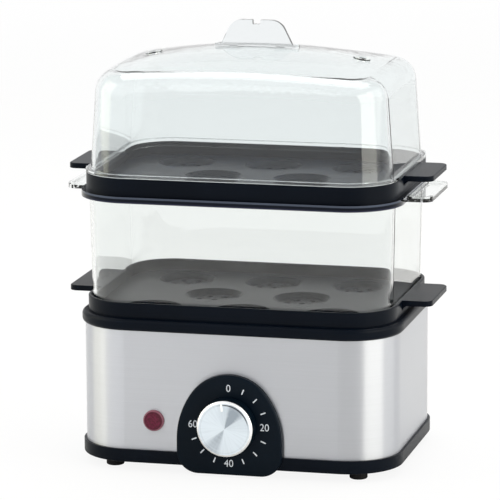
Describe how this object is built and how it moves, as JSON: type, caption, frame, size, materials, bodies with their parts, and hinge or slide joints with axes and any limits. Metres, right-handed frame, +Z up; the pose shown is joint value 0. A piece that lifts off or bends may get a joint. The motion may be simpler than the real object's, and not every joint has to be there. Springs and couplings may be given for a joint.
{
  "type": "two-tier electric egg boiler",
  "caption": "Two-tier electric egg boiler: steel housing with a timer knob and lamp, water pan, black egg trays with tab handles, clear steam chamber and clear lid.",
  "frame": {"origin": "middle of the whole object's footprint, on the surface that its feet stand on", "axes": "+X to the right as seen from the front, +Y from the dial's face to the back, +Z up"},
  "size_m": [0.2162, 0.1604, 0.2544],
  "materials": {
    "black_plastic": "satin moulded black",
    "black_gloss": "gloss moulded black",
    "steel_brushed": "horizontally brushed stainless sheet",
    "steel_pan": "drawn stainless sheet",
    "steel_plain": "zinc-plated steel",
    "sheath": "dark oxide sheath",
    "clear": "clear polished plastic",
    "clear_grip": "clear polished plastic",
    "aluminium": "spun and bevelled face",
    "red_lens": "dark red transparent",
    "bulb": "clear bulb",
    "brass": "plain",
    "rubber_black": "matt",
    "silicone": "translucent silicone",
    "white_plastic": "natural nylon",
    "wire": "heat-proof insulation",
    "thermostat_metal": "pressed cap"
  },
  "bodies": {
    "base": {"base_plate": "black_plastic", "rubber_feet": "rubber_black", "housing_band": "steel_brushed", "top_rim": "black_plastic", "base_screws": "steel_plain", "pan_gasket": "silicone", "water_pan": "steel_pan", "element_clamp": "steel_plain", "thermostat_bracket": "steel_plain", "thermostat": "thermostat_metal", "thermal_fuse": "thermostat_metal", "heating_element": "sheath", "control_panel": "black_gloss", "panel_screws": "steel_plain", "timer_case": "white_plastic", "timer_cover": "white_plastic", "timer_screws": "steel_plain", "timer_contacts": "brass", "indicator_lens": "red_lens", "lamp_clip": "steel_plain", "indicator_lamp": "bulb", "cord_gland": "black_plastic", "terminal_block": "white_plastic", "terminal_screws": "brass", "wiring": "wire", "pan_nuts": "steel_plain", "middle_nut": "steel_plain"},
    "knob": {"knob_body": "black_gloss", "knob_cap": "aluminium", "timer_shaft": "steel_plain", "timer_cam": "white_plastic"},
    "lower_tray": {"lower_tray": "black_plastic"},
    "chamber": {"chamber": "clear"},
    "upper_tray": {"upper_tray": "black_plastic"},
    "lid": {"lid_shell": "clear", "lid_grip": "clear_grip"}
  },
  "joints": [
    {"name": "knob_turn", "type": "hinge", "parent": "base", "child": "knob", "pos_m": [0, -0.06785, 0.031], "axis": [0, 1, 0], "range_deg": [0, 270]},
    {"name": "lower_tray_lift", "type": "slide", "parent": "base", "child": "lower_tray", "axis": [0, 0, 1], "range_m": [0, 0.04]},
    {"name": "chamber_lift", "type": "slide", "parent": "lower_tray", "child": "chamber", "axis": [0, 0, 1], "range_m": [0, 0.08]},
    {"name": "upper_tray_lift", "type": "slide", "parent": "chamber", "child": "upper_tray", "axis": [0, 0, 1], "range_m": [0, 0.04]},
    {"name": "lid_lift", "type": "slide", "parent": "upper_tray", "child": "lid", "axis": [0, 0, 1], "range_m": [0, 0.09]}
  ]
}
